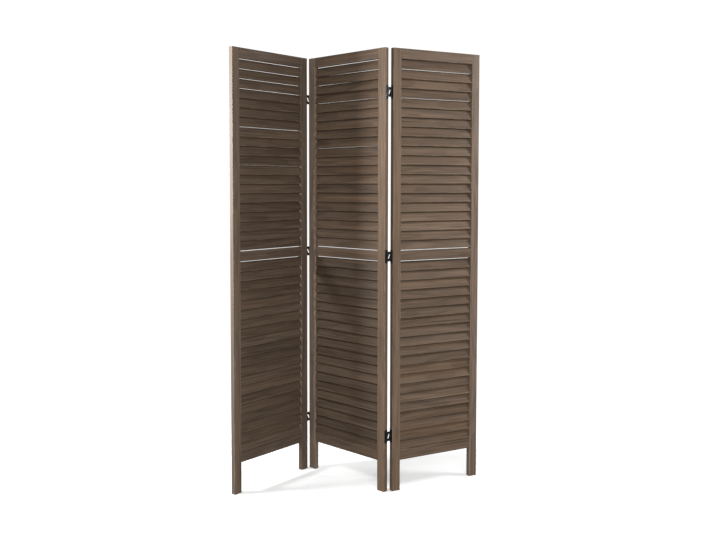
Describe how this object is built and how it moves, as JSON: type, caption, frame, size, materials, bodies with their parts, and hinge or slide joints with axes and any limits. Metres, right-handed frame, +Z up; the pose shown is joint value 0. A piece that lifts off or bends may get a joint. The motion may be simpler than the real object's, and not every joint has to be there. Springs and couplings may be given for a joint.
{
  "type": "folding screen",
  "caption": "Free-standing louvred wooden folding screen: panels of slanted slats between stiles, joined by double-action hinges, standing in a zigzag.",
  "frame": {"origin": "on the floor, in the middle of the footprint of the screen as it stands in its zigzag", "axes": "+Z up, +X from the left panel to the right panel, +Y away from a viewer who faces the fronts of the slats"},
  "size_m": [0.9766, 0.3141, 1.7],
  "materials": {
    "frame_wood": "grey-brown walnut stain, satin",
    "slat_wood": "grey-brown walnut stain, satin",
    "dowel_wood": "plain unfinished hardwood",
    "hinge_black": "black, semi-matt",
    "pin_steel": "black, semi-matt",
    "screw_black": "black oxide"
  },
  "bodies": {
    "middle_panel": {"left_hinges_bottom_inner_leaf": "hinge_black", "left_hinges_inner_pins": "pin_steel", "left_hinges_inner_screws": "screw_black", "left_hinges_middle_inner_leaf": "hinge_black", "left_hinges_top_inner_leaf": "hinge_black", "middle_bottom_rail": "frame_wood", "middle_dowels": "dowel_wood", "middle_left_stile": "frame_wood", "middle_lower_slats": "slat_wood", "middle_mid_rail": "frame_wood", "middle_right_stile": "frame_wood", "middle_top_rail": "frame_wood", "middle_upper_slats": "slat_wood", "right_hinges_bottom_inner_leaf": "hinge_black", "right_hinges_inner_pins": "pin_steel", "right_hinges_inner_screws": "screw_black", "right_hinges_middle_inner_leaf": "hinge_black", "right_hinges_top_inner_leaf": "hinge_black"},
    "left_link": {"left_hinges_bottom_link": "hinge_black", "left_hinges_middle_link": "hinge_black", "left_hinges_top_link": "hinge_black"},
    "left_panel": {"left_bottom_rail": "frame_wood", "left_dowels": "dowel_wood", "left_hinges_bottom_outer_leaf": "hinge_black", "left_hinges_middle_outer_leaf": "hinge_black", "left_hinges_outer_pins": "pin_steel", "left_hinges_outer_screws": "screw_black", "left_hinges_top_outer_leaf": "hinge_black", "left_left_stile": "frame_wood", "left_lower_slats": "slat_wood", "left_mid_rail": "frame_wood", "left_right_stile": "frame_wood", "left_top_rail": "frame_wood", "left_upper_slats": "slat_wood"},
    "right_link": {"right_hinges_bottom_link": "hinge_black", "right_hinges_middle_link": "hinge_black", "right_hinges_top_link": "hinge_black"},
    "right_panel": {"right_bottom_rail": "frame_wood", "right_dowels": "dowel_wood", "right_hinges_bottom_outer_leaf": "hinge_black", "right_hinges_middle_outer_leaf": "hinge_black", "right_hinges_outer_pins": "pin_steel", "right_hinges_outer_screws": "screw_black", "right_hinges_top_outer_leaf": "hinge_black", "right_left_stile": "frame_wood", "right_lower_slats": "slat_wood", "right_mid_rail": "frame_wood", "right_right_stile": "frame_wood", "right_top_rail": "frame_wood", "right_upper_slats": "slat_wood"}
  },
  "joints": [
    {"name": "left_inner_hinge", "type": "hinge", "parent": "middle_panel", "child": "left_link", "pos_m": [-0.18816, 0.15241, 0.911], "axis": [0, 0, 1], "range_deg": [-122.5, 12.5]},
    {"name": "left_outer_hinge", "type": "hinge", "parent": "left_link", "child": "left_panel", "pos_m": [-0.20458, 0.14134, 0.911], "axis": [0, 0, 1], "range_deg": [-57.5, 77.5]},
    {"name": "right_inner_hinge", "type": "hinge", "parent": "middle_panel", "child": "right_link", "pos_m": [0.10605, -0.12678, 0.911], "axis": [0, 0, 1], "range_deg": [-122.5, 12.5]},
    {"name": "right_outer_hinge", "type": "hinge", "parent": "right_link", "child": "right_panel", "pos_m": [0.12246, -0.11571, 0.911], "axis": [0, 0, 1], "range_deg": [-37, 98]}
  ]
}
